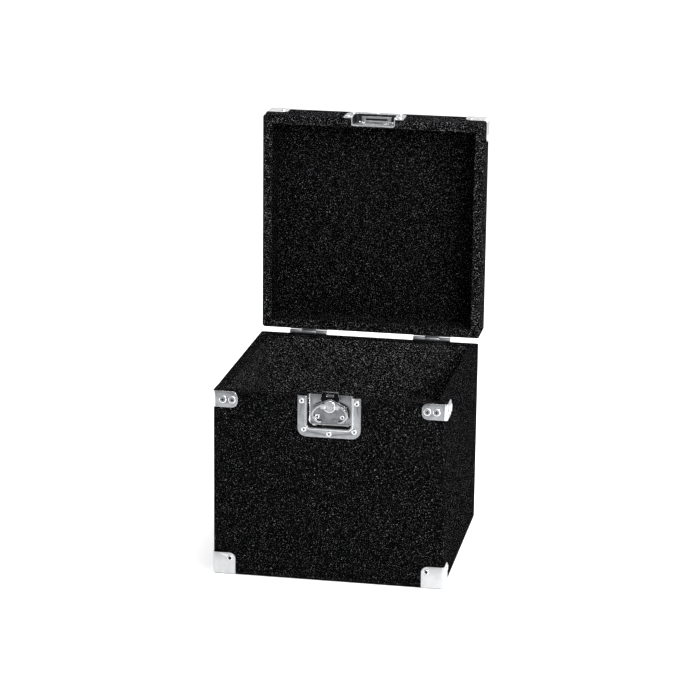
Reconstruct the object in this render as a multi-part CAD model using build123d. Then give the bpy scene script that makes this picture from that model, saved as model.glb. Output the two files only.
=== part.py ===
from build123d import *
import os

# Record carrying case: a carpeted plywood box with a hinged lid, stop hinges at the back,
# a recessed butterfly latch at the front and a folding handle on the lid.
# Millimetres. X to the right seen from the front, Y to the back, Z up.
# The origin is the middle of the underside. The lid stands open at a right angle.

# ---- The case ----
case_width = 352.0  # over the carpet
case_depth = 346.0  # over the carpet
box_height = 290.0  # floor to parting line
lid_depth = 58.0
ply = 10.0
carpet = 2.5
lining = 2.0
carpet_radius = 4.5  # the carpet's fold round an edge of the case
rim_radius = 1.0  # the carpet's fold over a rim
parting_gap = 0.4

# ---- Fasteners ----
hole_clearance = 0.05  # radial, round every shank
screw_shank_radius = 1.75
screw_length = 11.0
screw_head_radius = 4.0
brace_screw_head_radius = 5.8
screw_head_height = 2.0
screw_head_round = 1.4
cross_recess_length = 5.0
cross_recess_width = 1.4
cross_recess_depth = 1.3
flush_head_depth = 1.6
rivet_shank_radius = 2.0
rivet_head_radius = 4.0
rivet_head_height = 1.4
rivet_dome_share = 0.7  # of the head's height
rivet_dimple_radius = 1.5
rivet_dimple_depth = 0.7

# ---- Steel corners and rim braces ----
corner_steel = 1.2
corner_leg = 34.0
corner_leg_round = 10.0
corner_fold_radius = 4.0
corner_screw_inset = 26.0  # from the two faces that the leg runs to
brace_leg = 37.0
brace_height = 24.5
brace_end_round = 9.0
brace_below_rim = 1.0
brace_screw_insets = (15.0, 29.0)  # from the corner of the case

# ---- Latch dish in the box, keeper dish in the lid ----
dish_sheet = 1.2
flange_round = 13.5
recess_width = 66.6
recess_depth = 12.5  # from the flange's face
recess_round = 6.0
floor_round = 2.8  # where the recess's walls meet its floor
bead_width = 3.2  # rolled lip round the recess
bead_height = 1.1
bead_round = 0.88
dish_height = 62.6
pocket_gap = 0.1  # round a dish in its board
dish_below_rim = 0.4
keeper_height = 45.2
rivet_edge = 6.0  # flange rivets from the flange's edges
rivet_rim = 8.0  # the pair next to the parting line from that line
side_rivet_gap = 1.0  # between that pair's heads and the recess's bead
low_rivet_gap = 1.3  # between the lowest head and the bead
high_rivet_gap = 0.8  # between the keeper's highest head and its bead
corner_rivet_out = 4.7  # the corner pairs from the recess's sides
corner_rivet_drop = 3.2  # under the latch's recess
corner_rivet_rise = 4.5  # over the keeper's recess

# ---- Latch works ----
spindle_drop = 16.0  # spindle below the rim
spindle_radius = 4.0
spindle_fit = 0.06
spindle_throw = 1.2  # the eccentric pin's offset
eccentric_radius = 2.0
eccentric_end_gap = 0.2
eccentric_slot_play = 0.4
spindle_head_radius = 9.3
spindle_head_height = 4.3
spindle_head_round = 1.4
layer_gap = 0.3
slider_thickness = 1.2
slider_half_width = 14.2
slider_neck_half_width = 9.0
slider_top = 6.0  # plate over the middle of its slot
hook_thickness = 1.6
hook_half_width = 12.0
hook_shoulder_half_width = 14.5
hook_shoulder_drop = 12.0  # the shoulder below the hook's tip
hook_shoulder_slope = 4.0
hook_lip = 1.4
hook_lip_height = 1.4
hook_window_half_width = 5.5
hook_window_height = 4.6
hook_window_drop = 3.0  # under the hook's tip
hook_rock = 2.2  # degrees, between latched and free
hook_pivot_drop = 25.0  # pivot below the spindle
hook_knuckle_radius = 2.0
hook_knuckle_half_length = 4.0
hook_pin_radius = 1.0
hook_pin_fit = 0.06
bracket_stand = 5.3  # back of the plate over the dish's floor
bracket_thickness = 1.2
bracket_head_round = 10.2
bracket_shoulder_x = 17.0
bracket_shoulder_drop = 7.5
bracket_shoulder_round = 9.5
bracket_foot_x = 19.0
bracket_foot_drop = 16.5
bracket_foot_round = 9.0
bracket_post_radius = 4.3
bracket_rivet_head_radius = 3.6
bracket_rivet_head_height = 0.8
wing_gap = 1.2  # wings over the bracket
wing_thickness = 2.4
wing_reach = 31.2  # the wings' outer edge from the spindle's axis
wing_bar = 3.0
wing_end_round = 1.35
wing_shoulder_x = 16.5
wing_shoulder_drop = 0.2  # the bar's middle under the spindle's axis there
wing_run = ((6.0, -13.5), (0.4, -27.5), (0.0, -39.0), (0.0, -51.0), (3.2, -62.0))  # inset, angle
wing_pivot_x = 6.8
wing_inner = 3.4  # the loop's inner edge from its pivot
wing_knuckle_radius = 1.5
wing_tongue_half_height = 4.0
wing_pin_radius = 0.9
wing_pin_fit = 0.05
wing_pin_half_length = 5.0
wing_side_gap = 0.2
wing_top = 3.6  # over the spindle's axis

# ---- Keeper strike ----
strike_thickness = 1.5
strike_half_width = 24.0
strike_tongue_half_width = 15.6
strike_tongue_length = 12.0
strike_turn = 9.5  # turned up the recess's end wall
strike_slot_length = 36.0
strike_slot_width = 3.0
strike_bar = 1.4
strike_below_rim = 0.5  # the bar hangs under the lid's rim
strike_window_half_width = 12.6
strike_window_height = 7.0
strike_play = 0.3  # hook's lip over the bar when latched
strike_rivet_x = 18.5
strike_rivet_rise = 18.0

# ---- Stop hinges ----
hinge_inset = 76.0  # hinge's middle from the side of the case
hinge_offset = 5.8  # pin behind the back of the case
hinge_length = 60.0
hinge_leaf = 1.5
hinge_leaf_height = 42.0
hinge_leaf_round = 5.0
hinge_knuckle_radius = 4.3
hinge_pin_radius = 2.2
hinge_pin_fit = 0.05
hinge_lid_knuckle_half_length = 11.7
hinge_side_gap = 0.3
hinge_root_clear = 3.2
hinge_stop_reach = 6.5
hinge_stop_thickness = 1.8
hinge_stop_play = 0.2
hinge_screws = ((-20.0, 34.0), (20.0, 34.0), (0.0, 20.0))  # along the hinge, away from the pin

# ---- Handle ----
handle_pivot_height = 11.0
handle_rod_radius = 4.0
handle_rod_fit = 0.08
handle_arm_x = 56.0
handle_arm_length = 34.0
handle_bend = 5.0
handle_grip_half_length = 44.0
handle_grip_radius = 9.5
handle_grip_fit = 0.05
handle_grip_end_round = 3.0
lug_plate = 2.0
lug_plate_width = 24.0
lug_plate_inner_x = 60.0
lug_plate_outer_x = 88.0
lug_plate_round = 6.0
lug_ear_inner_x = 63.0
lug_ear_thickness = 7.0
lug_ear_radius = 7.5
lug_screw_x = 79.5
lug_screw_y = 6.5

# ---- Derived places ----
half_width = case_width / 2
half_depth = case_depth / 2
hinge_x = half_width - hinge_inset
wall = carpet + ply + lining
front = -half_depth
back = half_depth
lid_rim = box_height + parting_gap
lid_top = lid_rim + lid_depth
pin_y = back + hinge_offset
pin_z = box_height + parting_gap / 2
flange_face = front - dish_sheet
recess_floor = flange_face + recess_depth
spindle_z = box_height - spindle_drop
hook_travel = 2 * spindle_throw
slider_back = recess_floor - layer_gap
hook_back = slider_back - slider_thickness - layer_gap
hook_front = hook_back - hook_thickness
bracket_back = recess_floor - bracket_stand
bracket_front = bracket_back - bracket_thickness
wing_back = bracket_front - wing_gap
wing_front = wing_back - wing_thickness
wing_pivot_y = (wing_back + wing_front) / 2
hook_pivot_y = slider_back - hook_knuckle_radius
hook_pivot_z = spindle_z - hook_pivot_drop
strike_bottom = lid_rim - strike_below_rim
hook_tip = strike_bottom + strike_bar + strike_play + hook_lip_height
handle_pivot_z = lid_top + handle_pivot_height
bead_to_edge = rivet_head_radius + rivet_edge  # of the flange, but for the gap beside the head
flange_width = recess_width + 2 * (bead_width + side_rivet_gap + bead_to_edge)
dish_bottom = box_height - dish_below_rim - dish_height
recess_bottom = dish_bottom + bead_width + low_rivet_gap + bead_to_edge
keeper_bottom = lid_rim + dish_below_rim
keeper_top = keeper_bottom + keeper_height
keeper_recess_top = keeper_top - bead_width - high_rivet_gap - bead_to_edge
pocket_half_width = recess_width / 2 + dish_sheet
wood_depth = screw_length + 1  # of the holes for screws
rivet_depth = recess_depth + dish_sheet  # of the rivets and their holes


def block(low, high):
    """Box between two opposite corners."""
    size = [b - a for a, b in zip(low, high)]
    middle = [(a + b) / 2 for a, b in zip(low, high)]
    return Pos(*middle) * Box(*size)


def front_plane(y):
    """Plane across the case whose sketch axes are X and Z, and whose normal points to the front."""
    return Plane(origin=(0, y, 0), x_dir=(1, 0, 0), z_dir=(0, -1, 0))


def mirrored(shape):
    """The left-hand copy of a right-hand piece."""
    return mirror(shape, about=Plane.YZ)


def opened(shape):
    """A lid piece turned from shut to standing open."""
    return shape.rotate(Axis((0, pin_y, pin_z), (1, 0, 0)), -90)


def rod(axis_start, axis_end, radius):
    """Round bar between two points."""
    start = Vector(*axis_start)
    run = Vector(*axis_end) - start
    return Plane(origin=start, z_dir=run) * Pos(0, 0, run.length / 2) * Cylinder(radius, run.length)


def upright(body):
    """The edges of a body that run up and down."""
    return body.edges().filter_by(Axis.Z)


# ---- Fasteners: a seat is a point on the surface and the way out of it ----
def screw(seat, out, head_radius=screw_head_radius):
    """Pan-head screw with a cross recess."""
    head = Pos(0, 0, screw_head_height / 2) * Cylinder(head_radius, screw_head_height)
    head = fillet(head.edges().group_by(Axis.Z)[-1], screw_head_round)
    shank = Pos(0, 0, -screw_length / 2) * Cylinder(screw_shank_radius, screw_length)
    cross_depth = Pos(0, 0, screw_head_height)
    slots = Box(cross_recess_length, cross_recess_width, 2 * cross_recess_depth)
    slots += Box(cross_recess_width, cross_recess_length, 2 * cross_recess_depth)
    return Plane(origin=seat, z_dir=out) * (head + shank - cross_depth * slots)


def flush_screw(seat, out):
    """Screw whose head is sunk level with the surface."""
    head = Pos(0, 0, -flush_head_depth / 2) * Cylinder(screw_head_radius, flush_head_depth)
    shank = Pos(0, 0, -screw_length / 2) * Cylinder(screw_shank_radius, screw_length)
    slots = Box(cross_recess_length, cross_recess_width, 2 * cross_recess_depth)
    slots += Box(cross_recess_width, cross_recess_length, 2 * cross_recess_depth)
    return Plane(origin=seat, z_dir=out) * (head + shank - slots)


def rivet(seat, out, length, head_radius, head_height):
    """Domed rivet with a dimple in its head."""
    head = Pos(0, 0, head_height / 2) * Cylinder(head_radius, head_height)
    head = fillet(head.edges().group_by(Axis.Z)[-1], head_height * rivet_dome_share)
    shank = Pos(0, 0, -length / 2) * Cylinder(rivet_shank_radius, length)
    dimple = Pos(0, 0, head_height) * Cylinder(rivet_dimple_radius, 2 * rivet_dimple_depth)
    return Plane(origin=seat, z_dir=out) * (head + shank - dimple)


def drilled(body, seats, radius, depth):
    """A body with a hole for each shank."""
    for seat, out in seats:
        tool = Pos(0, 0, -depth / 2) * Cylinder(radius + hole_clearance, depth)
        body -= Plane(origin=seat, z_dir=out) * tool
    return body


def both_sides(seats):
    """Seats on the right, with their mirror images on the left."""
    left = [((-x, y, z), (-u, v, w)) for (x, y, z), (u, v, w) in seats]
    return list(seats) + left


def corner_seats():
    """Screw seats on the front and side legs of the box's right-hand corner."""
    rise = corner_steel + corner_screw_inset
    on_front = ((half_width - corner_screw_inset, front - corner_steel, rise), (0, -1, 0))
    on_side = ((half_width + corner_steel, front + corner_screw_inset, rise), (1, 0, 0))
    return [on_front, on_side]


def corner_bottom_seats():
    """Screw seat on the leg under the box."""
    return [((half_width - corner_screw_inset, front + corner_screw_inset, 0), (0, 0, -1))]


def lid_corner_seats():
    """Screw seats on the three legs of the shut lid's right-hand corner."""
    x = half_width - corner_screw_inset
    y = front + corner_screw_inset
    z = lid_top - corner_screw_inset
    on_front = ((x, front - corner_steel, z), (0, -1, 0))
    on_side = ((half_width + corner_steel, y, z), (1, 0, 0))
    on_top = ((x, y, lid_top + corner_steel), (0, 0, 1))
    return [on_front, on_side, on_top]


def brace_seats():
    """Two screws on each leg of the right-hand brace."""
    z = box_height - brace_below_rim - brace_height / 2
    on_front = [((half_width - i, front - corner_steel, z), (0, -1, 0)) for i in brace_screw_insets]
    on_side = [((half_width + corner_steel, front + i, z), (1, 0, 0)) for i in brace_screw_insets]
    return on_front + on_side


def dish_seats():
    """Five rivets round the dish's flange."""
    side_x = flange_width / 2 - rivet_edge
    low_x = recess_width / 2 + corner_rivet_out
    low_z = recess_bottom - corner_rivet_drop
    places = [(-side_x, box_height - rivet_rim), (side_x, box_height - rivet_rim)]
    places += [(-low_x, low_z), (low_x, low_z), (0, dish_bottom + rivet_edge)]
    return [((x, flange_face, z), (0, -1, 0)) for x, z in places]


def keeper_seats():
    """Five rivets round the keeper's flange, lid shut."""
    side_x = flange_width / 2 - rivet_edge
    high_x = recess_width / 2 + corner_rivet_out
    high_z = keeper_recess_top + corner_rivet_rise
    places = [(-side_x, lid_rim + rivet_rim), (side_x, lid_rim + rivet_rim)]
    places += [(-high_x, high_z), (high_x, high_z), (0, keeper_top - rivet_edge)]
    return [((x, flange_face, z), (0, -1, 0)) for x, z in places]


def bracket_seats():
    """The two rivets that hold the latch bracket."""
    z = spindle_z - bracket_foot_drop
    return [((x, bracket_front, z), (0, -1, 0)) for x in (-bracket_foot_x, bracket_foot_x)]


def strike_seats():
    """The two rivets that hold the strike in the keeper."""
    z = strike_bottom + strike_rivet_rise
    y = recess_floor - strike_thickness
    return [((x, y, z), (0, -1, 0)) for x in (-strike_rivet_x, strike_rivet_x)]


def hinge_seats(way):
    """Screw seats of the right-hand hinge: way is -1 on the box and 1 on the lid."""
    y = back + hinge_leaf
    return [((hinge_x + along, y, pin_z + way * away), (0, 1, 0)) for along, away in hinge_screws]


def handle_seats():
    """Two screws through the right-hand handle lug, lid shut."""
    z = lid_top + lug_plate
    return [((lug_screw_x, y, z), (0, 0, 1)) for y in (-lug_screw_y, lug_screw_y)]


# ---- Plywood boards ----
def box_boards():
    """Bottom board with four walls standing on it, butt jointed."""
    x = half_width - carpet
    y = half_depth - carpet
    low = carpet + ply
    high = box_height - carpet
    boards = {
        "box_bottom_board": block((-x, -y, carpet), (x, y, low)),
        "box_front_board": block((-x, -y, low), (x, -y + ply, high)),
        "box_back_board": block((-x, y - ply, low), (x, y, high)),
        "box_left_board": block((-x, -y + ply, low), (-x + ply, y - ply, high)),
        "box_right_board": block((x - ply, -y + ply, low), (x, y - ply, high)),
    }
    boards["box_front_board"] -= dish_pocket()
    return boards


def lid_boards():
    """Top board on four shallow walls, lid shut."""
    x = half_width - carpet
    y = half_depth - carpet
    low = lid_rim + carpet
    high = lid_top - carpet - ply
    boards = {
        "lid_top_board": block((-x, -y, high), (x, y, high + ply)),
        "lid_front_board": block((-x, -y, low), (x, -y + ply, high)),
        "lid_back_board": block((-x, y - ply, low), (x, y, high)),
        "lid_left_board": block((-x, -y + ply, low), (-x + ply, y - ply, high)),
        "lid_right_board": block((x - ply, -y + ply, low), (x, y - ply, high)),
    }
    boards["lid_front_board"] -= keeper_pocket()
    return boards


def routed_pocket(low, high):
    """Room in a front wall for a dish's pressed well, between two heights."""
    outline = Rectangle(2 * (pocket_half_width + pocket_gap), high - low)
    floor = recess_floor + dish_sheet + pocket_gap
    sketch = front_plane(floor) * Pos(0, (low + high) / 2) * outline
    return extrude(sketch, floor - front + dish_sheet)


def dish_pocket():
    """The pocket in the box, open at the rim."""
    low = recess_bottom - dish_sheet - pocket_gap
    pocket = routed_pocket(low, box_height + dish_height)
    return fillet(pocket.edges().filter_by(Axis.Y).group_by(Axis.Z)[0], recess_round)


def keeper_pocket():
    """The pocket in the shut lid, open at the rim."""
    high = keeper_recess_top + dish_sheet + pocket_gap
    pocket = routed_pocket(lid_rim - keeper_height, high)
    return fillet(pocket.edges().filter_by(Axis.Y).group_by(Axis.Z)[-1], recess_round)


# ---- Carpet and lining ----
def box_skin():
    """The carpet's outer shape, folded round every edge but the rim."""
    body = block((-half_width, -half_depth, 0), (half_width, half_depth, box_height))
    folds = upright(body) + body.edges().group_by(Axis.Z)[0]
    return fillet(folds, carpet_radius)


def box_hollow(inset, low, high):
    """Room inside the box at an inset from the carpet's face."""
    x = half_width - inset
    y = half_depth - inset
    return block((-x, -y, low), (x, y, high))


def box_carpet_cover():
    """Felt round the four walls, turned over the rim."""
    felt = box_skin() & block((-case_width, -case_depth, carpet), (case_width, case_depth, box_height))
    felt -= box_hollow(carpet, 0, box_height - carpet)
    felt -= box_hollow(wall, 0, box_height)
    rim_edges = felt.edges().group_by(Axis.Z)[-1]
    felt = fillet(rim_edges, rim_radius)
    return felt - dish_pocket()


def box_bottom_carpet():
    """Felt under the bottom board, which the case stands on."""
    return box_skin() & block((-case_width, -case_depth, 0), (case_width, case_depth, carpet))


def box_lining():
    """Thin felt glued inside the box, walls and floor."""
    low = carpet + ply
    felt = box_hollow(carpet + ply, low, box_height - carpet)
    return felt - box_hollow(wall, low + lining, box_height)


def lid_carpet_cover():
    """Felt over the lid's top and walls, turned over its rim, lid shut."""
    body = block((-half_width, -half_depth, lid_rim), (half_width, half_depth, lid_top))
    folds = upright(body) + body.edges().group_by(Axis.Z)[-1]
    felt = fillet(folds, carpet_radius)
    felt -= box_hollow(carpet, lid_rim + carpet, lid_top - carpet)
    felt -= box_hollow(wall, lid_rim, lid_rim + carpet)
    felt = fillet(felt.edges().group_by(Axis.Z)[0], rim_radius)
    return felt - keeper_pocket()


def lid_lining():
    """Thin felt inside the lid, walls and top, lid shut."""
    high = lid_top - carpet - ply
    felt = box_hollow(carpet + ply, lid_rim + carpet, high)
    return felt - box_hollow(wall, lid_rim, high - lining)


# ---- Steel corners and braces ----
def corner_shell():
    """Three-legged corner at the origin, its legs running to -X, +Y and +Z from the case's corner."""
    reach = corner_leg
    outer = block((-reach, -corner_steel, -corner_steel), (corner_steel, reach, reach))
    folds = [
        outer.edges().filter_by(Axis.Z).sort_by_distance((corner_steel, -corner_steel, 0))[0],
        outer.edges().filter_by(Axis.X).sort_by_distance((0, -corner_steel, -corner_steel))[0],
        outer.edges().filter_by(Axis.Y).sort_by_distance((corner_steel, 0, -corner_steel))[0],
    ]
    outer = fillet(folds, corner_fold_radius + corner_steel)
    inner = block((-2 * reach, 0, 0), (0, 2 * reach, 2 * reach))
    folds = [
        inner.edges().filter_by(Axis.Z).sort_by_distance((0, 0, 0))[0],
        inner.edges().filter_by(Axis.X).sort_by_distance((0, 0, 0))[0],
        inner.edges().filter_by(Axis.Y).sort_by_distance((0, 0, 0))[0],
    ]
    inner = fillet(folds, corner_fold_radius)
    shell = outer - inner
    ends = [edge for edge in shell.edges() if abs(edge.length - corner_steel) < 0.001]
    return fillet(ends, corner_leg_round)


def box_corner():
    """The box's right-hand corner, its lower leg pressed level into the carpet."""
    corner = Pos(half_width, front, corner_steel) * corner_shell()
    corner = drilled(corner, corner_seats(), screw_shank_radius, wood_depth)
    return drilled(corner, corner_bottom_seats(), screw_head_radius, corner_steel)


def lid_corner():
    """The shut lid's right-hand corner."""
    upside_down = mirror(corner_shell(), about=Plane.XY)
    corner = Pos(half_width, front, lid_top) * upside_down
    return drilled(corner, lid_corner_seats(), screw_shank_radius, wood_depth)


def rim_brace():
    """Steel strap folded round the box's right-hand front edge just under the rim."""
    top = box_height - brace_below_rim
    low = top - brace_height
    outer = block(
        (half_width - brace_leg, front - corner_steel, low),
        (half_width + corner_steel, front + brace_leg, top),
    )
    corner_point = (half_width, front, (top + low) / 2)
    outer = fillet(upright(outer).sort_by_distance(corner_point)[0], corner_fold_radius + corner_steel)
    inner = block(
        (half_width - 2 * brace_leg, front, low),
        (half_width, front + 2 * brace_leg, top),
    )
    inner = fillet(upright(inner).sort_by_distance(corner_point)[0], corner_fold_radius)
    strap = outer - inner
    ends = [edge for edge in strap.edges() if abs(edge.length - corner_steel) < 0.001]
    strap = fillet(ends, brace_end_round)
    return drilled(strap, brace_seats(), screw_shank_radius, wood_depth)


# ---- Latch dish and keeper ----
def well_body(half_across, low, high, deepest, closed_end, end_round, back_round):
    """Solid the shape of a recess: closed_end is 0 when its closed end is the lower one, else -1."""
    well = block((-half_across, flange_face - bead_height, low), (half_across, deepest, high))
    well = fillet(well.edges().filter_by(Axis.Y).group_by(Axis.Z)[closed_end], end_round)
    back_edges = well.edges().group_by(Axis.Y)[-1]
    open_end = high if closed_end == 0 else low
    folds = [edge for edge in back_edges if abs(edge.center().Z - open_end) > 0.001]
    return fillet(folds, back_round)


def pressed_dish(low, high, recess_low, recess_high, closed_end):
    """Flange with a well pressed through it and a rolled lip, open at the parting line."""
    flange = extrude(
        front_plane(front) * Pos(0, (low + high) / 2) * Rectangle(flange_width, high - low), dish_sheet
    )
    flange = fillet(flange.edges().filter_by(Axis.Y).group_by(Axis.Z)[closed_end], flange_round)
    down = 1 if closed_end == 0 else 0
    up = 1 - down
    half = recess_width / 2

    def grown(margin, deepest, back_round):
        return well_body(
            half + margin,
            recess_low - margin * down,
            recess_high + margin * up,
            deepest,
            closed_end,
            recess_round + margin,
            back_round,
        )

    lip = grown(bead_width, recess_floor, floor_round)
    lip &= block((-flange_width, flange_face - bead_height, low), (flange_width, front, high))
    lip = fillet(lip.faces().sort_by(Axis.Y)[0].edges(), bead_round)
    well = grown(dish_sheet, recess_floor + dish_sheet, floor_round + dish_sheet)
    dish = flange + lip + (well & block((-half * 2, front - dish_sheet, low), (half * 2, 0, high)))
    return dish - grown(0, recess_floor, floor_round)


def latch_dish():
    """The box's half of the latch's housing."""
    top = box_height - dish_below_rim
    dish = pressed_dish(dish_bottom, top, recess_bottom, top, 0)
    dish = drilled(dish, dish_seats(), rivet_shank_radius, rivet_depth)
    return drilled(dish, bracket_seats(), rivet_shank_radius, rivet_depth)


def keeper_dish():
    """The lid's half of the latch's housing, lid shut."""
    dish = pressed_dish(keeper_bottom, keeper_top, keeper_bottom, keeper_recess_top, -1)
    dish = drilled(dish, keeper_seats(), rivet_shank_radius, rivet_depth)
    return drilled(dish, strike_seats(), rivet_shank_radius, rivet_depth)


def keeper_strike():
    """Bent plate in the keeper, lid shut: the hook holds down the bar under its window."""
    inner = recess_floor - strike_thickness
    tongue_top = strike_bottom + strike_tongue_length
    plate = block(
        (-strike_half_width, inner, tongue_top),
        (strike_half_width, recess_floor, keeper_recess_top),
    )
    turn_front = recess_floor - strike_turn
    turn_low = keeper_recess_top - strike_thickness
    upturn = block(
        (-strike_half_width, turn_front, turn_low),
        (strike_half_width, inner, keeper_recess_top),
    )
    upturn = fillet(upturn.edges().filter_by(Axis.Z).group_by(Axis.Y)[0], strike_thickness)
    slot_middle = turn_front + strike_turn / 2
    upturn -= block(
        (-strike_slot_length / 2, slot_middle - strike_slot_width / 2, turn_low),
        (strike_slot_length / 2, slot_middle + strike_slot_width / 2, keeper_recess_top),
    )
    tongue = block(
        (-strike_tongue_half_width, inner, strike_bottom),
        (strike_tongue_half_width, recess_floor, tongue_top),
    )
    tongue = fillet(tongue.edges().filter_by(Axis.Y).group_by(Axis.Z)[0], strike_bar / 2)
    sill = strike_bottom + strike_bar
    window = block(
        (-strike_window_half_width, inner, sill),
        (strike_window_half_width, recess_floor, sill + strike_window_height),
    )
    plate = plate + upturn + tongue
    corner = (0, recess_floor, keeper_recess_top)
    heel = plate.edges().filter_by(Axis.X).sort_by_distance(corner)[0]
    plate = fillet(heel, floor_round + pocket_gap)
    return drilled(plate - window, strike_seats(), rivet_shank_radius, rivet_depth)


# ---- Latch works: drawn with the latch shut, then lifted to the free position ----
def latch_bracket():
    """Plate that carries the spindle, standing on two posts over the dish's floor."""
    rounds = Pos(0, spindle_z) * Circle(bracket_head_round)
    foot_z = spindle_z - bracket_foot_drop
    shoulder_z = spindle_z - bracket_shoulder_drop
    for side in (-1, 1):
        rounds += Pos(side * bracket_shoulder_x, shoulder_z) * Circle(bracket_shoulder_round)
        rounds += Pos(side * bracket_foot_x, foot_z) * Circle(bracket_foot_round)
    plate = extrude(front_plane(bracket_back) * make_hull(rounds.edges()), bracket_thickness)
    for x in (-bracket_foot_x, bracket_foot_x):
        plate += rod((x, recess_floor, foot_z), (x, bracket_back, foot_z), bracket_post_radius)
    bore = spindle_radius + spindle_fit
    plate -= rod((0, recess_floor, spindle_z), (0, wing_front, spindle_z), bore)
    return drilled(plate, bracket_seats(), rivet_shank_radius, rivet_depth)


def latch_spindle():
    """Headed spindle with an eccentric pin at its inner end, at the latch's free position."""
    head_back = bracket_front - layer_gap
    head_front = head_back - spindle_head_height
    head = rod((0, head_back, spindle_z), (0, head_front, spindle_z), spindle_head_radius)
    head = fillet(head.edges().group_by(Axis.Y)[0], spindle_head_round)
    notch_inner = wing_pivot_x - wing_knuckle_radius - layer_gap
    notch_half = wing_tongue_half_height + wing_side_gap
    for side in (-1, 1):
        notch = block(
            (notch_inner, head_front, spindle_z - notch_half),
            (2 * spindle_head_radius, head_back, spindle_z + notch_half),
        )
        head -= notch if side > 0 else mirrored(notch)
    shaft_end = hook_back
    shaft = rod((0, head_back, spindle_z), (0, shaft_end, spindle_z), spindle_radius)
    pin_end = recess_floor - eccentric_end_gap
    pin_height = spindle_z + spindle_throw
    eccentric = rod((0, shaft_end, pin_height), (0, pin_end, pin_height), eccentric_radius)
    spindle = head + shaft + eccentric
    for x in (-wing_pivot_x, wing_pivot_x):
        spindle -= wing_pin_bar(x, wing_pin_radius + wing_pin_fit)
    return spindle


def wing_pin_bar(x, radius):
    """Bar along a wing's pivot."""
    low = (x, wing_pivot_y, spindle_z - wing_pin_half_length)
    high = (x, wing_pivot_y, spindle_z + wing_pin_half_length)
    return rod(low, high, radius)


def wing_line(inset, angle):
    """Point on a wing's middle line, inset from its reach, at an angle about the spindle."""
    return Vector(wing_reach - wing_bar / 2 - inset, 0).rotate(Axis.Z, angle)


def latch_wing():
    """Right-hand wing of the butterfly: a curved bar with a tongue on a pivot in the spindle's head."""
    inner_x = wing_pivot_x + wing_inner
    line_z = wing_top - wing_bar / 2
    outer_run = [wing_line(inset, angle) for inset, angle in wing_run]
    bar_line = Spline((inner_x, line_z), (wing_shoulder_x, -wing_shoulder_drop), *outer_run)
    band = trace(bar_line, wing_bar)
    free_end = band.vertices().sort_by_distance(bar_line @ 1)[:2]
    band = fillet(free_end, wing_end_round)
    wing = extrude(front_plane(wing_back) * Pos(0, spindle_z) * band, wing_thickness)
    tongue = block(
        (wing_pivot_x, wing_front, spindle_z - wing_tongue_half_height),
        (wing_pivot_x + wing_inner + wing_bar, wing_back, spindle_z + wing_tongue_half_height),
    )
    low = (wing_pivot_x, wing_pivot_y, spindle_z - wing_tongue_half_height)
    high = (wing_pivot_x, wing_pivot_y, spindle_z + wing_tongue_half_height)
    wing = Part() + wing + tongue + rod(low, high, wing_knuckle_radius)
    return wing - wing_pin_bar(wing_pivot_x, wing_pin_radius + wing_pin_fit)


def knuckle_bar(x_start, x_end, radius):
    """Round bar along the hook's pivot, latch shut."""
    return rod((x_start, hook_pivot_y, hook_pivot_z), (x_end, hook_pivot_y, hook_pivot_z), radius)


def latch_slider():
    """Plate that the eccentric pin draws down, carrying the hook's pivot."""
    slot_z = spindle_z - spindle_throw
    front_face = slider_back - slider_thickness
    plate = block(
        (-slider_neck_half_width, front_face, hook_pivot_z),
        (slider_neck_half_width, slider_back, slot_z + slider_top),
    )
    guide_z = spindle_z - bracket_foot_drop
    plate += block(
        (-slider_half_width, front_face, guide_z - bracket_foot_round),
        (slider_half_width, slider_back, guide_z + bracket_foot_round),
    )
    slot_half_width = spindle_throw + eccentric_radius + layer_gap
    slot_half_height = eccentric_radius + eccentric_slot_play
    plate -= block(
        (-slot_half_width, front_face, slot_z - slot_half_height),
        (slot_half_width, slider_back, slot_z + slot_half_height),
    )
    knuckle_inner = hook_knuckle_half_length + layer_gap
    plate -= block(
        (-knuckle_inner, front_face, hook_pivot_z - hook_knuckle_radius),
        (knuckle_inner, slider_back, hook_pivot_z + hook_knuckle_radius + layer_gap),
    )
    plate += knuckle_bar(knuckle_inner, slider_neck_half_width, hook_knuckle_radius)
    plate += knuckle_bar(-slider_neck_half_width, -knuckle_inner, hook_knuckle_radius)
    plate -= knuckle_bar(-slider_half_width, slider_half_width, hook_pin_radius)
    return Pos(0, 0, hook_travel) * plate


def latch_hook():
    """Hook with a lip along its tip and a window under it, leaning forward at its free position."""
    shoulder = hook_tip - hook_shoulder_drop
    foot = hook_pivot_z + hook_knuckle_radius + layer_gap
    points = [
        (hook_half_width, foot),
        (hook_half_width, shoulder - hook_shoulder_slope),
        (hook_shoulder_half_width, shoulder),
        (hook_half_width, hook_tip),
    ]
    points += [(-x, z) for x, z in reversed(points)]
    outline = make_face(Polyline(points, close=True))
    window_z = hook_tip - hook_window_drop - hook_window_height / 2
    window = Pos(0, window_z) * SlotOverall(2 * hook_window_half_width, hook_window_height)
    hole_low = Pos(0, spindle_z - hook_travel) * Circle(spindle_radius + layer_gap)
    hole_high = Pos(0, spindle_z) * Circle(spindle_radius + layer_gap)
    hole = make_hull(hole_low.edges() + hole_high.edges())
    tongue = Pos(0, (foot + hook_pivot_z) / 2) * Rectangle(
        2 * hook_knuckle_half_length, foot - hook_pivot_z
    )
    hook = extrude(front_plane(hook_back) * (outline + tongue - window - hole), hook_thickness)
    hook += block(
        (-hook_half_width, hook_back, hook_tip - hook_lip_height),
        (hook_half_width, hook_back + hook_lip, hook_tip),
    )
    hook += knuckle_bar(-hook_knuckle_half_length, hook_knuckle_half_length, hook_knuckle_radius)
    hook -= knuckle_bar(-slider_half_width, slider_half_width, hook_pin_radius + hook_pin_fit)
    hook = hook.rotate(Axis((0, hook_pivot_y, hook_pivot_z), (1, 0, 0)), hook_rock)
    return Pos(0, 0, hook_travel) * hook


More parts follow.
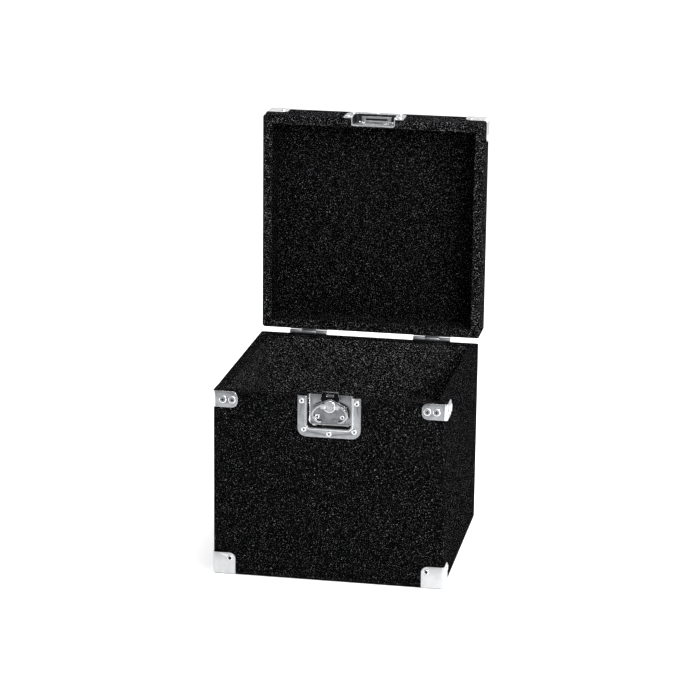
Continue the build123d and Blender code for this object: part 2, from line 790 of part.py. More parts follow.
def hook_pivot_pin():
    """Pin through the slider's knuckles."""
    bar = knuckle_bar(-slider_neck_half_width, slider_neck_half_width, hook_pin_radius)
    return Pos(0, 0, hook_travel) * bar


# ---- Stop hinges: the right-hand one, drawn with the lid shut ----
def hinge_leaf_plate(way):
    """A leaf on the back of the case without its knuckles: way is -1 on the box and 1 on the lid."""
    root = pin_z + way * (hinge_knuckle_radius - hinge_leaf)
    far = root + way * hinge_leaf_height
    low = min(root, far)
    high = max(root, far)
    x = hinge_length / 2
    leaf = block((hinge_x - x, back, low), (hinge_x + x, back + hinge_leaf, high))
    free_corners = leaf.edges().filter_by(Axis.Y).group_by(Axis.Z)[0 if way < 0 else -1]
    return fillet(free_corners, hinge_leaf_round)


def hinge_root(x_start, x_end, way):
    """The leaf's turn from the case to the knuckle."""
    near = pin_z + way * (hinge_knuckle_radius - hinge_leaf)
    far = pin_z + way * hinge_knuckle_radius
    return block((x_start, back, min(near, far)), (x_end, pin_y, max(near, far)))


def pin_bar(x_start, x_end, radius):
    """Round bar along the right-hand hinge's pin."""
    return rod((x_start, pin_y, pin_z), (x_end, pin_y, pin_z), radius)


def hinge_box_leaf():
    """Leaf on the box with a knuckle at each end; the pin is fast in it."""
    leaf = hinge_leaf_plate(-1)
    inner = hinge_lid_knuckle_half_length + hinge_side_gap
    leaf -= block(
        (hinge_x - inner, back, pin_z - hinge_root_clear),
        (hinge_x + inner, back + hinge_leaf, pin_z),
    )
    for start, end in ((-hinge_length / 2, -inner), (inner, hinge_length / 2)):
        leaf += hinge_root(hinge_x + start, hinge_x + end, -1)
        leaf += pin_bar(hinge_x + start, hinge_x + end, hinge_knuckle_radius)
    leaf -= pin_bar(hinge_x - hinge_length, hinge_x + hinge_length, hinge_pin_radius)
    return drilled(leaf, hinge_seats(-1), screw_shank_radius, wood_depth)


def hinge_lid_leaf():
    """Leaf on the lid with the middle knuckle, whose nib meets the box leaf when the lid is open."""
    leaf = hinge_leaf_plate(1)
    inner = hinge_lid_knuckle_half_length
    for start, end in ((-hinge_length / 2, -inner), (inner, hinge_length / 2)):
        leaf -= block(
            (hinge_x + start, back, pin_z),
            (hinge_x + end, back + hinge_leaf, pin_z + hinge_root_clear),
        )
    leaf += hinge_root(hinge_x - inner, hinge_x + inner, 1)
    leaf += pin_bar(hinge_x - inner, hinge_x + inner, hinge_knuckle_radius)
    nib_face = hinge_offset - hinge_leaf - hinge_stop_play
    leaf += block(
        (hinge_x - inner, pin_y, pin_z - nib_face),
        (hinge_x + inner, pin_y + hinge_stop_reach, pin_z - nib_face + hinge_stop_thickness),
    )
    bore = hinge_pin_radius + hinge_pin_fit
    leaf -= pin_bar(hinge_x - hinge_length, hinge_x + hinge_length, bore)
    return drilled(leaf, hinge_seats(1), screw_shank_radius, wood_depth)


def hinge_pin():
    """Steel pin as long as the hinge."""
    return pin_bar(hinge_x - hinge_length / 2, hinge_x + hinge_length / 2, hinge_pin_radius)


# ---- Handle, drawn with the lid shut and the handle folded down ----
def handle_lug():
    """Right-hand lug: a plate with an ear that carries the handle's end."""
    half = lug_plate_width / 2
    plate = block((lug_plate_inner_x, -half, lid_top), (lug_plate_outer_x, half, lid_top + lug_plate))
    plate = fillet(upright(plate), lug_plate_round)
    ear_outer_x = lug_ear_inner_x + lug_ear_thickness
    ear = block(
        (lug_ear_inner_x, -lug_ear_radius, lid_top + lug_plate),
        (ear_outer_x, lug_ear_radius, handle_pivot_z),
    )
    ear += rod((lug_ear_inner_x, 0, handle_pivot_z), (ear_outer_x, 0, handle_pivot_z), lug_ear_radius)
    bore = handle_rod_radius + handle_rod_fit
    lug = plate + ear
    lug -= rod((lug_ear_inner_x, 0, handle_pivot_z), (ear_outer_x, 0, handle_pivot_z), bore)
    return drilled(lug, handle_seats(), screw_shank_radius, wood_depth)


def handle_rod():
    """Steel rod bent square, its ends turning in the lugs."""
    end_x = lug_ear_inner_x + lug_ear_thickness
    z = handle_pivot_z
    path = FilletPolyline(
        (-end_x, 0, z),
        (-handle_arm_x, 0, z),
        (-handle_arm_x, handle_arm_length, z),
        (handle_arm_x, handle_arm_length, z),
        (handle_arm_x, 0, z),
        (end_x, 0, z),
        radius=handle_bend,
    )
    section = Plane(origin=path @ 0, z_dir=path % 0) * Circle(handle_rod_radius)
    return sweep(section, path)


def handle_grip():
    """Moulded sleeve on the rod's long run."""
    start = (-handle_grip_half_length, handle_arm_length, handle_pivot_z)
    end = (handle_grip_half_length, handle_arm_length, handle_pivot_z)
    sleeve = rod(start, end, handle_grip_radius)
    ends = sleeve.edges().filter_by(GeomType.CIRCLE)
    sleeve = fillet(ends, handle_grip_end_round)
    return sleeve - rod(start, end, handle_rod_radius + handle_grip_fit)


# ---- The whole case ----
def box_nodes():
    """Every piece that belongs to the box."""
    nodes = box_boards()
    corner = box_corner()
    nodes["box_corner_right"] = corner
    nodes["box_corner_left"] = mirrored(corner)
    brace = rim_brace()
    nodes["rim_brace_right"] = brace
    nodes["rim_brace_left"] = mirrored(brace)
    wood_screws = both_sides(corner_seats() + brace_seats() + hinge_seats(-1))
    bottom_screws = both_sides(corner_bottom_seats())
    skins = {"box_carpet_cover": box_carpet_cover(), "box_bottom_carpet": box_bottom_carpet()}
    for name, felt in skins.items():
        nodes[name] = felt - corner - mirrored(corner)
    for name in ("box_front_board", "box_left_board", "box_right_board", "box_back_board"):
        nodes[name] = drilled(nodes[name], wood_screws, screw_shank_radius, wood_depth)
    nodes["box_front_board"] = drilled(
        nodes["box_front_board"], dish_seats(), rivet_shank_radius, rivet_depth
    )
    cover = drilled(nodes["box_carpet_cover"], wood_screws, screw_shank_radius, wood_depth)
    nodes["box_carpet_cover"] = drilled(cover, dish_seats(), rivet_shank_radius, rivet_depth)
    for name in ("box_bottom_carpet", "box_bottom_board"):
        pad = drilled(nodes[name], bottom_screws, screw_shank_radius, wood_depth)
        nodes[name] = drilled(pad, bottom_screws, screw_head_radius, flush_head_depth)
    nodes["box_lining"] = box_lining()
    nodes["box_corner_screws"] = Compound(
        [screw(*seat) for seat in both_sides(corner_seats())]
        + [flush_screw(*seat) for seat in bottom_screws]
    )
    nodes["brace_screws"] = Compound(
        [screw(*seat, brace_screw_head_radius) for seat in both_sides(brace_seats())]
    )
    nodes["hinge_box_screws"] = Compound([screw(*seat) for seat in both_sides(hinge_seats(-1))])
    leaf = hinge_box_leaf()
    nodes["hinge_box_leaf_right"] = leaf
    nodes["hinge_box_leaf_left"] = mirrored(leaf)
    pin = hinge_pin()
    nodes["hinge_pin_right"] = pin
    nodes["hinge_pin_left"] = mirrored(pin)
    return nodes


def latch_nodes():
    """The dish in the box with everything that works in it."""
    wing = latch_wing()
    pins = [wing_pin_bar(x, wing_pin_radius) for x in (-wing_pivot_x, wing_pivot_x)]
    dish_rivets = [
        rivet(*seat, rivet_depth, rivet_head_radius, rivet_head_height) for seat in dish_seats()
    ]
    post_length = bracket_thickness + bracket_stand + dish_sheet
    bracket_rivets = [
        rivet(*seat, post_length, bracket_rivet_head_radius, bracket_rivet_head_height)
        for seat in bracket_seats()
    ]
    return {
        "latch_dish": latch_dish(),
        "latch_dish_rivets": Compound(dish_rivets),
        "latch_bracket": latch_bracket(),
        "latch_bracket_rivets": Compound(bracket_rivets),
        "latch_spindle": latch_spindle(),
        "wing_pins": Compound(pins),
        "latch_wing_right": wing,
        "latch_wing_left": mirrored(wing),
        "latch_slider": latch_slider(),
        "hook_pivot_pin": hook_pivot_pin(),
        "latch_hook": latch_hook(),
    }


def lid_nodes():
    """Every piece of the shut lid, its handle too."""
    nodes = lid_boards()
    corner = lid_corner()
    nodes["lid_corner_right"] = corner
    nodes["lid_corner_left"] = mirrored(corner)
    wood_screws = both_sides(lid_corner_seats() + hinge_seats(1) + handle_seats())
    nodes["lid_carpet_cover"] = lid_carpet_cover() - corner - mirrored(corner)
    for name in ("lid_top_board", "lid_front_board", "lid_left_board", "lid_right_board"):
        nodes[name] = drilled(nodes[name], wood_screws, screw_shank_radius, wood_depth)
    for name in ("lid_back_board", "lid_carpet_cover"):
        nodes[name] = drilled(nodes[name], wood_screws, screw_shank_radius, wood_depth)
    for name in ("lid_front_board", "lid_carpet_cover"):
        nodes[name] = drilled(nodes[name], keeper_seats(), rivet_shank_radius, rivet_depth)
    nodes["lid_lining"] = lid_lining()
    nodes["lid_corner_screws"] = Compound([screw(*seat) for seat in both_sides(lid_corner_seats())])
    nodes["hinge_lid_screws"] = Compound([screw(*seat) for seat in both_sides(hinge_seats(1))])
    nodes["handle_screws"] = Compound([screw(*seat) for seat in both_sides(handle_seats())])
    nodes["keeper_dish"] = keeper_dish()
    nodes["keeper_strike"] = keeper_strike()
    nodes["keeper_rivets"] = Compound(
        [rivet(*seat, rivet_depth, rivet_head_radius, rivet_head_height) for seat in keeper_seats()]
    )
    strike_grip = strike_thickness + dish_sheet
    nodes["strike_rivets"] = Compound(
        [
            rivet(*seat, strike_grip, bracket_rivet_head_radius, bracket_rivet_head_height)
            for seat in strike_seats()
        ]
    )
    leaf = hinge_lid_leaf()
    nodes["hinge_lid_leaf_right"] = leaf
    nodes["hinge_lid_leaf_left"] = mirrored(leaf)
    lug = handle_lug()
    nodes["handle_lug_right"] = lug
    nodes["handle_lug_left"] = mirrored(lug)
    nodes["handle_rod"] = handle_rod()
    nodes["handle_grip"] = handle_grip()
    return nodes


def build():
    """Write one STEP file per piece."""
    os.makedirs("parts", exist_ok=True)
    pieces = {**box_nodes(), **latch_nodes()}
    for name, shape in lid_nodes().items():
        pieces[name] = opened(shape)
    for name, shape in pieces.items():
        export_step(shape, f"parts/{name}.step")


build()
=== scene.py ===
import math

import bpy
from mathutils import Matrix, Vector
from mathutils.bvhtree import BVHTree


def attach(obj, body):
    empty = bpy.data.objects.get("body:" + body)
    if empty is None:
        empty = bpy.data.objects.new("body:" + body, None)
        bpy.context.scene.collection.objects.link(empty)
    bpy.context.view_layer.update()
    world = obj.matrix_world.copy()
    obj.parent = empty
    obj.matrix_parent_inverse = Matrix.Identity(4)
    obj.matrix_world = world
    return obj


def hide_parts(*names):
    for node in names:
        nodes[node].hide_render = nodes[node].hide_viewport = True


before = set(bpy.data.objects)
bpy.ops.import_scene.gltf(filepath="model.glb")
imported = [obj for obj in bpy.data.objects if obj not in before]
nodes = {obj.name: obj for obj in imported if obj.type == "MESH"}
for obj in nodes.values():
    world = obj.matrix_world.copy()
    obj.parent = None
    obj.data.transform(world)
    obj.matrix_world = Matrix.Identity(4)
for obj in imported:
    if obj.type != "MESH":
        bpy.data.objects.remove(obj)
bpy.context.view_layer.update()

MM = 0.001

# ---- Camera, floor and light ----
# A photographer's light table: the case stands on a pale sheet that is also lit from below,
# under large soft boxes. A long lens looks down on it from the front, a little to the right.
SENSOR_WIDTH = 36.0
FRAME_WIDTH = 700  # pixels
FOCAL_LENGTH = 2736.2  # pixels
CAMERA_PLACE = (0.7064, -3.9878, 1.4345)
YAW = -10.053
PITCH = 15.45
ROLL = 0.684
SIGHT = 400.0  # past the floor's far edge, in metres
FLOOR_SIZE = 300.0
FLOOR_GLOW = 0.3
AIM_POINT = (0, 0, 0.3)

lens = bpy.data.cameras.new("camera")
lens.sensor_width = SENSOR_WIDTH
lens.lens = FOCAL_LENGTH / FRAME_WIDTH * SENSOR_WIDTH
lens.clip_end = SIGHT
camera = bpy.data.objects.new("camera", lens)
bpy.context.scene.collection.objects.link(camera)
yaw, pitch, roll = (math.radians(angle) for angle in (YAW, PITCH, ROLL))
level_ahead = Vector((math.sin(yaw), math.cos(yaw), 0))
ahead = math.cos(pitch) * level_ahead - math.sin(pitch) * Vector((0, 0, 1))
level_right = Vector((math.cos(yaw), -math.sin(yaw), 0))
level_up = level_right.cross(ahead)
right = math.cos(roll) * level_right + math.sin(roll) * level_up
up = math.cos(roll) * level_up - math.sin(roll) * level_right
turn = Matrix((right, up, -ahead)).transposed().to_4x4()
camera.matrix_world = Matrix.Translation(CAMERA_PLACE) @ turn
bpy.context.scene.camera = camera


def linear(code):
    """A colour code as linear red, green, blue and alpha."""
    parts = [int(code[i : i + 2], 16) / 255 for i in (1, 3, 5)]
    return [c / 12.92 if c <= 0.04045 else ((c + 0.055) / 1.055) ** 2.4 for c in parts] + [1.0]


def add(tree, kind, sockets=None, **settings):
    """Adds a node with its settings. A socket takes a value or the (node, output) to feed it."""
    node = tree.nodes.new(kind)
    for name, value in settings.items():
        setattr(node, name, value)
    for name, value in (sockets or {}).items():
        if isinstance(value, tuple) and isinstance(value[0], bpy.types.Node):
            tree.links.new(value[0].outputs[value[1]], node.inputs[name])
        else:
            node.inputs[name].default_value = value
    return node


def new_finish(name):
    """An empty material and its node tree."""
    finish = bpy.data.materials.new(name)
    finish.use_nodes = True
    finish.node_tree.nodes.clear()
    return finish, finish.node_tree


def ramp(tree, source, stops):
    """A colour ramp fed by (node, output), from (place, colour code) stops."""
    band = add(tree, "ShaderNodeValToRGB", {"Fac": source})
    steps = band.color_ramp.elements
    while len(steps) < len(stops):
        steps.new(0.5)
    for step, (place, code) in zip(steps, stops):
        step.position = place
        step.color = linear(code)
    return band


def dress(finish, *names):
    """Gives CAD nodes a finish."""
    for name in names:
        for material_slot in nodes[name].material_slots:
            material_slot.material = finish


paper, tree = new_finish("seamless_paper")
place = add(tree, "ShaderNodeTexCoord")
grain = add(tree, "ShaderNodeTexNoise", {"Vector": (place, "Object"), "Scale": 2.0, "Detail": 2.0})
shade = ramp(tree, (grain, 0), [(0.3, "#fafafa"), (0.7, "#ffffff")])
surface = add(
    tree,
    "ShaderNodeBsdfPrincipled",
    {
        "Base Color": (shade, 0),
        "Roughness": 0.95,
        "Emission Color": linear("#ffffff"),
        "Emission Strength": FLOOR_GLOW,
    },
)
add(tree, "ShaderNodeOutputMaterial", {"Surface": (surface, 0)})

bpy.ops.object.select_all(action="DESELECT")
bpy.ops.mesh.primitive_plane_add(size=FLOOR_SIZE, location=(0, 0, 0))
floor = bpy.context.object
floor.name = "paper_sweep"
floor.data.materials.append(paper)

world = bpy.data.worlds.new("studio")
bpy.context.scene.world = world
world.use_nodes = True
tree = world.node_tree
tree.nodes.clear()
place = add(tree, "ShaderNodeTexCoord")
height = add(tree, "ShaderNodeSeparateXYZ", {"Vector": (place, "Generated")})
tent = ramp(tree, (height, "Z"), [(0.0, "#cfcfcf"), (0.35, "#dedede"), (1.0, "#ffffff")])
backdrop = add(
    tree,
    "ShaderNodeMapRange",
    {"Value": (height, "Y"), "From Min": 0.0, "From Max": 0.7, "To Min": 0.65, "To Max": 1.7},
)
glow = add(tree, "ShaderNodeBackground", {"Color": (tent, 0), "Strength": (backdrop, 0)})
add(tree, "ShaderNodeOutputWorld", {"Surface": (glow, 0)})
bpy.context.scene.view_settings.view_transform = "Standard"

for name, place, size, power in (
    ("key_softbox", (1.2, -0.9, 1.4), 1.0, 45.0),
    ("top_softbox", (0.2, 0.2, 3.0), 1.6, 36.0),
):
    lamp = bpy.data.lights.new(name, "AREA")
    lamp.shape = "SQUARE"
    lamp.size = size
    lamp.energy = power
    box_light = bpy.data.objects.new(name, lamp)
    box_light.location = place
    aim = Vector(AIM_POINT) - Vector(place)
    box_light.rotation_euler = aim.to_track_quat("-Z", "Y").to_euler()
    bpy.context.scene.collection.objects.link(box_light)

# ---- Plywood boards ----
# Five 10 mm birch plywood boards make the box and five make the lid, butted and glued.
# They are covered all over, so their pale, straight-grained faces never show.
GRAIN_SCALE = (4.0, 60.0, 60.0)  # long along the grain
PORE_HEIGHT = 0.2 * MM

birch, tree = new_finish("birch_plywood")
place = add(tree, "ShaderNodeTexCoord")
stretch = add(tree, "ShaderNodeMapping", {"Vector": (place, "Object"), "Scale": GRAIN_SCALE})
figure = add(tree, "ShaderNodeTexNoise", {"Vector": (stretch, 0), "Scale": 2.0, "Detail": 6.0})
wood = ramp(tree, (figure, 0), [(0.3, "#a98256"), (0.5, "#c9a675"), (0.7, "#d8b98a")])
pores = add(
    tree,
    "ShaderNodeBump",
    {"Height": (figure, 0), "Strength": 0.2, "Distance": PORE_HEIGHT},
)
surface = add(
    tree,
    "ShaderNodeBsdfPrincipled",
    {"Base Color": (wood, 0), "Roughness": 0.75, "Normal": (pores, 0)},
)
add(tree, "ShaderNodeOutputMaterial", {"Surface": (surface, 0)})
for part in ("box", "lid"):
    for side in ("front", "back", "left", "right"):
        dress(birch, f"{part}_{side}_board")
dress(birch, "box_bottom_board", "lid_top_board")

# ---- Carpet ----
# Needle-punched polyester felt, 2.5 mm thick and black, glued over the boards and turned
# over both rims. Stray pale fibres fleck it, and the punched surface is rough and matt.
# On the lid the flecks are more and paler, as painted light for its brighter rims.
CLUMP_SIZE = 4.5 * MM
FLECK_SIZE = 1.3 * MM  # coarser than the real fibres, which would be too fine to see
FLECK_EDGE = 0.07
NAP_HEIGHT = 1.2 * MM


def needle_felt(name, dark, middle, fleck, fleck_start):
    """Black felt, clumped between two colours, with flecks where the noise is past their start."""
    finish, tree = new_finish(name)
    place = add(tree, "ShaderNodeTexCoord")
    clump = add(
        tree,
        "ShaderNodeTexNoise",
        {"Vector": (place, "Object"), "Scale": 1 / CLUMP_SIZE, "Detail": 5.0, "Roughness": 0.75},
    )
    fibre = add(
        tree,
        "ShaderNodeTexNoise",
        {
            "Vector": (place, "Object"),
            "Scale": 1 / FLECK_SIZE,
            "Detail": 3.0,
            "Roughness": 0.65,
            "Distortion": 0.8,
        },
    )
    body = ramp(tree, (clump, 0), [(0.38, dark), (0.62, middle)])
    fleck_full = fleck_start + FLECK_EDGE
    mask = ramp(tree, (fibre, 0), [(fleck_start, "#000000"), (fleck_full, "#ffffff")])
    colour = add(
        tree,
        "ShaderNodeMix",
        {0: (mask, 0), 6: (body, 0), 7: linear(fleck)},
        data_type="RGBA",
    )
    height = add(tree, "ShaderNodeMath", {0: (clump, 0), 1: (fibre, 0)}, operation="ADD")
    nap = add(
        tree,
        "ShaderNodeBump",
        {"Height": (height, 0), "Strength": 1.0, "Distance": NAP_HEIGHT},
    )
    surface = add(
        tree,
        "ShaderNodeBsdfPrincipled",
        {
            "Base Color": (colour, 2),
            "Roughness": 1.0,
            "Specular IOR Level": 0.0,
            "Normal": (nap, 0),
        },
    )
    add(tree, "ShaderNodeOutputMaterial", {"Surface": (surface, 0)})
    return finish


carpet = needle_felt("needle_felt", "#010101", "#0a0a0b", "#9a9a9c", 0.626)
dress(carpet, "box_carpet_cover", "box_bottom_carpet")
# The lid's felt has more and paler flecks: painted light, for the light on its rims.
lid_carpet = needle_felt("lid_needle_felt_painted_light", "#010101", "#0b0b0c", "#a6a6a8", 0.608)
dress(lid_carpet, "lid_carpet_cover")

# ---- Lining ----
# Black felt in a thinner grade, glued to the inside of the lid and the box. The two are one
# grade, painted darker in the lid as painted shade and greyer with more pale flecks in the
# box as painted light.
# The lid's lining is painted darker, as shade.
shaded_lid_felt = needle_felt("thin_felt_painted_shade", "#010101", "#060607", "#808082", 0.611)
dress(shaded_lid_felt, "lid_lining")
# The box's lining is painted greyer, as light.
lit_box_felt = needle_felt("thin_felt_painted_light", "#030303", "#111112", "#d4d4d6", 0.603)
dress(lit_box_felt, "box_lining")

# ---- Steel corners and rim braces ----
# Pressed from 1.2 mm steel sheet, tumbled and zinc plated. Most rounded edges carry a painted
# highlight in a near-white finish, and the flats are slightly cloudy.
CLOUD_SIZE = 12 * MM
GRIT_SIZE = 0.6 * MM
GRIT_HEIGHT = 0.1 * MM
MERGE_DISTANCE = 0.01 * MM
FLAT_ANGLE = 1.0
EDGE_ANGLE = 28
SMOOTH_ANGLE = 40
FLAT_NORMAL = 0.985  # least share of a flat's normal along one axis
FLOOR_NORMAL = 0.9  # the same for a hollow's floor
LINES = 12
LINE_START = 0.02 * MM  # off the face


def plated_steel(name, low, high, rough_low, rough_high):
    """Plated steel, cloudy between two colours and two roughnesses."""
    finish, tree = new_finish(name)
    place = add(tree, "ShaderNodeTexCoord")
    cloud = add(
        tree,
        "ShaderNodeTexNoise",
        {"Vector": (place, "Object"), "Scale": 1 / CLOUD_SIZE, "Detail": 5.0, "Roughness": 0.6},
    )
    grit = add(
        tree,
        "ShaderNodeTexNoise",
        {"Vector": (place, "Object"), "Scale": 1 / GRIT_SIZE, "Detail": 2.0},
    )
    tint = ramp(tree, (cloud, 0), [(0.35, low), (0.65, high)])
    rough = add(
        tree,
        "ShaderNodeMapRange",
        {
            "Value": (cloud, 0),
            "From Min": 0.3,
            "From Max": 0.7,
            "To Min": rough_low,
            "To Max": rough_high,
        },
    )
    peel = add(
        tree,
        "ShaderNodeBump",
        {"Height": (grit, 0), "Strength": 0.12, "Distance": GRIT_HEIGHT},
    )
    surface = add(
        tree,
        "ShaderNodeBsdfPrincipled",
        {
            "Base Color": (tint, 0),
            "Metallic": 1.0,
            "Roughness": (rough, 0),
            "Normal": (peel, 0),
        },
    )
    add(tree, "ShaderNodeOutputMaterial", {"Surface": (surface, 0)})
    return finish


def merged_copy(name, suffix):
    """A copy of a CAD node as one closed mesh, selected and active."""
    piece = nodes[name].copy()
    piece.data = nodes[name].data.copy()
    for key in list(piece.keys()):
        del piece[key]
    piece.parent = None
    piece.name = f"{name}_{suffix}"
    bpy.context.scene.collection.objects.link(piece)
    piece.hide_render = piece.hide_viewport = False
    bpy.ops.object.select_all(action="DESELECT")
    bpy.context.view_layer.objects.active = piece
    piece.select_set(True)
    bpy.ops.object.mode_set(mode="EDIT")
    bpy.ops.mesh.select_all(action="SELECT")
    bpy.ops.mesh.remove_doubles(threshold=MERGE_DISTANCE)
    bpy.ops.mesh.dissolve_limited(angle_limit=math.radians(FLAT_ANGLE))
    bpy.ops.object.mode_set(mode="OBJECT")
    piece.data.materials.clear()
    return piece


def stand_in(piece, name, body):
    """Puts the piece in the CAD node's place."""
    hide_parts(name)
    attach(piece, body)


def eased(name, body, finish, edge, highlight_finish, round_highlight=True):
    """The piece with its sharp edges tumbled round by some millimetres, in a finish of their own,
    which paints a highlight on them when it is brighter than the piece's.

    That painted highlight goes on its pressed rounds too, unless round_highlight is off."""
    piece = merged_copy(name, "plated")
    piece.data.materials.append(finish)
    piece.data.materials.append(highlight_finish)
    rounding = piece.modifiers.new("tumbled", "BEVEL")
    rounding.width = edge * MM
    rounding.segments = 2
    rounding.limit_method = "ANGLE"
    rounding.angle_limit = math.radians(EDGE_ANGLE)
    rounding.use_clamp_overlap = True
    # The bevel's faces take the second finish, a painted highlight on the edges.
    rounding.material = 1
    bpy.ops.object.modifier_apply(modifier="tumbled")
    # Faces off the three axes, the pressed rounds, take the painted highlight too.
    for face in piece.data.polygons:
        if round_highlight and max(abs(part) for part in face.normal) < FLAT_NORMAL:
            face.material_index = 1
    bpy.ops.object.shade_smooth_by_angle(angle=math.radians(SMOOTH_ANGLE))
    stand_in(piece, name, body)
    return piece


def shade_hollows(piece, finish, lean, share, reach, floor_axis=None):
    """Paints shade on the faces that are mostly walled in by the piece itself, in a dark finish.

    Lines leave the middle of each face's largest triangle all round, leaning from its normal;
    share is how many of them must meet a wall. Faces across the floor's axis are left."""
    shell = BVHTree.FromObject(piece, bpy.context.evaluated_depsgraph_get())
    piece.data.materials.append(finish)
    piece.data.calc_loop_triangles()
    largest = {}
    for triangle in piece.data.loop_triangles:
        known = largest.get(triangle.polygon_index)
        if known is None or triangle.area > known.area:
            largest[triangle.polygon_index] = triangle
    for face in piece.data.polygons:
        if floor_axis is not None and abs(face.normal[floor_axis]) > FLOOR_NORMAL:
            continue
        side = face.normal.orthogonal().normalized()
        start = largest[face.index].center + face.normal * LINE_START
        walled = 0
        for step in range(LINES):
            around = Matrix.Rotation(step * math.tau / LINES, 3, face.normal) @ side
            line = (face.normal + around * lean).normalized()
            walled += shell.ray_cast(start, line, reach * MM)[0] is not None
        if walled > LINES * share:
            face.material_index = len(piece.data.materials) - 1


bright_zinc = plated_steel("bright_zinc_steel", "#b5b6b7", "#c3c4c5", 0.32, 0.44)
zinc = plated_steel("zinc_plated_steel", "#75777a", "#909294", 0.26, 0.4)
# A near-white steel put on edges and rounds as a painted highlight.
edge_highlight = plated_steel("painted_edge_highlight_steel", "#eeeeef", "#fafafa", 0.16, 0.26)
# A dark steel put in hollows as painted shade.
hollow_shade = plated_steel("painted_hollow_shade_steel", "#1b1c1e", "#38393b", 0.5, 0.65)
for side in ("left", "right"):
    eased(f"box_corner_{side}", "box", bright_zinc, 0.5, bright_zinc)
    eased(f"lid_corner_{side}", "lid", bright_zinc, 0.5, edge_highlight)
    eased(f"rim_brace_{side}", "box", zinc, 0.6, edge_highlight)

# ---- Screws ----
# Pan-head steel wood screws with a cross recess, in grey nickel plate with a painted highlight
# on the edges and domes. They hold the corners, braces, hinges and handle, and their recesses
# are painted dark as shade.
nickel = plated_steel("nickel_plated_steel", "#a9abad", "#c9cacb", 0.18, 0.3)
grey_nickel = plated_steel("grey_nickel_steel", "#6c6e71", "#8a8c8f", 0.26, 0.4)
for name, body in (
    ("box_corner_screws", "box"),
    ("brace_screws", "box"),
    ("hinge_box_screws", "box"),
    ("lid_corner_screws", "lid"),
    ("hinge_lid_screws", "lid"),
    ("handle_screws", "lid"),
):
    screws = eased(name, body, grey_nickel, 0.2, edge_highlight)
    shade_hollows(screws, hollow_shade, 2.0, 0.3, 5.0)

# ---- Latch dish and keeper ----
# Two halves of one housing, drawn from 1.2 mm steel and zinc plated, with painted shade on the
# well's walls and a painted highlight on the rolled lip; the keeper's plate is painted brighter,
# as painted light. Domed steel rivets hold each to its board, their dimples in painted shade.
# The keeper's plate is a brighter copy of the zinc: painted light.
lit_keeper_zinc = plated_steel("keeper_zinc_painted_light", "#999b9e", "#adafb1", 0.26, 0.4)
for name, body, plate, floor_axis in (
    ("latch_dish", "box", zinc, 1),
    ("keeper_dish", "lid", lit_keeper_zinc, 2),
):
    dish = eased(name, body, plate, 0.5, edge_highlight)
    shade_hollows(dish, hollow_shade, 1.0, 0.3, 40.0, floor_axis)

eased("keeper_strike", "lid", lit_keeper_zinc, 0.3, edge_highlight)
for name, body in (
    ("latch_dish_rivets", "box"),
    ("latch_bracket_rivets", "box"),
    ("keeper_rivets", "lid"),
    ("strike_rivets", "lid"),
):
    rivets = eased(name, body, nickel, 0.15, edge_highlight)
    shade_hollows(rivets, hollow_shade, 4.0, 0.5, 4.0)

# ---- Latch works ----
# The bracket and the hook are blacked steel, the slider is plated, and the spindle and
# its butterfly wings are chrome, painted grey on the flats as painted shade and bright on the
# edges as a painted highlight.
blacked = plated_steel("blacked_steel", "#56575a", "#77787b", 0.3, 0.45)
black_hook = plated_steel("black_hook_steel", "#0a0a0b", "#161618", 0.3, 0.42)
chrome = plated_steel("bright_chrome", "#dcddde", "#eeeeef", 0.08, 0.16)
# A grey copy of the chrome for the flats, as painted shade.
shaded_chrome = plated_steel("chrome_painted_shade", "#77797b", "#a9abad", 0.24, 0.4)
eased("latch_bracket", "box", blacked, 0.58, edge_highlight)
eased("latch_hook", "hook", black_hook, 0.35, edge_highlight)
eased("latch_slider", "slider", zinc, 0.15, zinc)
eased("latch_spindle", "spindle", shaded_chrome, 0.3, chrome)
eased("latch_wing_left", "wing_left", shaded_chrome, 0.6, chrome)
eased("latch_wing_right", "wing_right", shaded_chrome, 0.6, chrome)
dress(nickel, "wing_pins", "hook_pivot_pin")

# ---- Stop hinges ----
# Rolled 1.5 mm steel leaves on a steel pin, zinc plated, screwed to the backs of the
# box and the lid.
for side in ("left", "right"):
    eased(f"hinge_box_leaf_{side}", "box", zinc, 0.3, edge_highlight, False)
    eased(f"hinge_lid_leaf_{side}", "lid", zinc, 0.3, edge_highlight, False)
    dress(nickel, f"hinge_pin_{side}")

# ---- Handle ----
# A bent 8 mm steel rod turns in two screwed lugs and carries a grip of moulded rubber, with
# grooves round it for the fingers. The rubber is matt, and paler where hands have worn it.
PEBBLE_SIZE = 1.2 * MM
PEBBLE_HEIGHT = 0.3 * MM
WEAR_SIZE = 18 * MM
GROOVE_PITCH = 5.0 * MM
GROOVE_WIDTH = 2.4 * MM
GROOVE_DEPTH = 0.9 * MM
GROOVES = range(-7, 8)
OUTER_SHARE = 0.8  # of the grip's radius, past which a vertex is on its outside
GROOVE_SMOOTH_ANGLE = 45

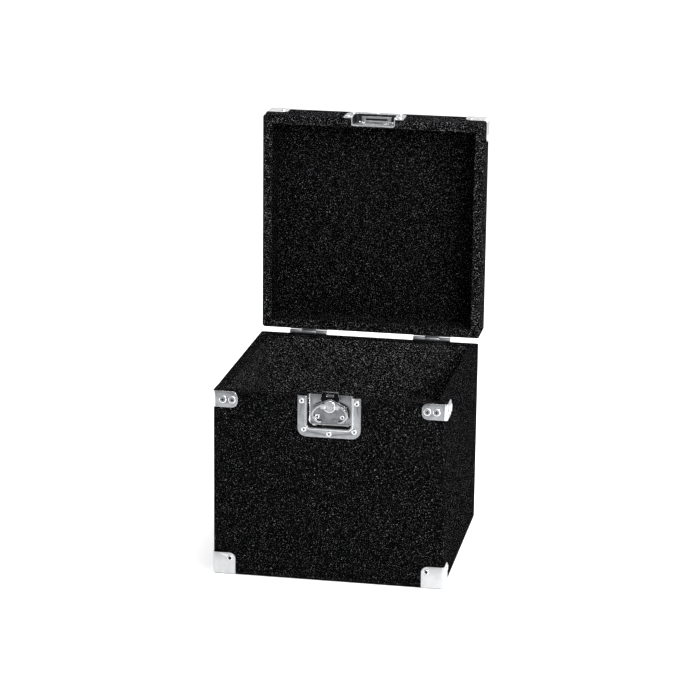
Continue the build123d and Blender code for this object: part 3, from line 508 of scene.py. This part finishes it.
rubber, tree = new_finish("moulded_rubber")
place = add(tree, "ShaderNodeTexCoord")
pebble = add(
    tree,
    "ShaderNodeTexVoronoi",
    {"Vector": (place, "Object"), "Scale": 1 / PEBBLE_SIZE},
)
worn = add(
    tree,
    "ShaderNodeTexNoise",
    {"Vector": (place, "Object"), "Scale": 1 / WEAR_SIZE, "Detail": 4.0},
)
black = ramp(tree, (worn, 0), [(0.35, "#101011"), (0.7, "#1b1b1c")])
skin = add(
    tree,
    "ShaderNodeBump",
    {"Height": (pebble, 0), "Strength": 0.35, "Distance": PEBBLE_HEIGHT},
)
surface = add(
    tree,
    "ShaderNodeBsdfPrincipled",
    {
        "Base Color": (black, 0),
        "Roughness": 0.65,
        "Specular IOR Level": 0.25,
        "Normal": (skin, 0),
    },
)
add(tree, "ShaderNodeOutputMaterial", {"Surface": (surface, 0)})
dress(grey_nickel, "handle_rod")
for side in ("left", "right"):
    eased(f"handle_lug_{side}", "lid", zinc, 0.4, edge_highlight, False)

grip = merged_copy("handle_grip", "moulded")
grip.data.materials.append(rubber)
lowest, highest = Vector(grip.bound_box[0]), Vector(grip.bound_box[6])
middle = (lowest + highest) / 2
outer = (highest.z - lowest.z) / 2
bpy.ops.object.mode_set(mode="EDIT")
for groove in GROOVES:
    for edge in (-GROOVE_WIDTH / 2, 0.0, GROOVE_WIDTH / 2):
        bpy.ops.mesh.select_all(action="SELECT")
        cut = Vector((groove * GROOVE_PITCH + edge, 0, 0))
        bpy.ops.mesh.bisect(plane_co=cut, plane_no=(1, 0, 0))
bpy.ops.object.mode_set(mode="OBJECT")
for vertex in grip.data.vertices:
    outward = Vector((0, vertex.co.y - middle.y, vertex.co.z - middle.z))
    along = vertex.co.x / GROOVE_PITCH
    in_groove = abs(along - round(along)) < 0.01 and round(along) in GROOVES
    if in_groove and outward.length > OUTER_SHARE * outer:
        vertex.co -= outward.normalized() * GROOVE_DEPTH
bpy.ops.object.shade_smooth_by_angle(angle=math.radians(GROOVE_SMOOTH_ANGLE))
stand_in(grip, "handle_grip", "handle")
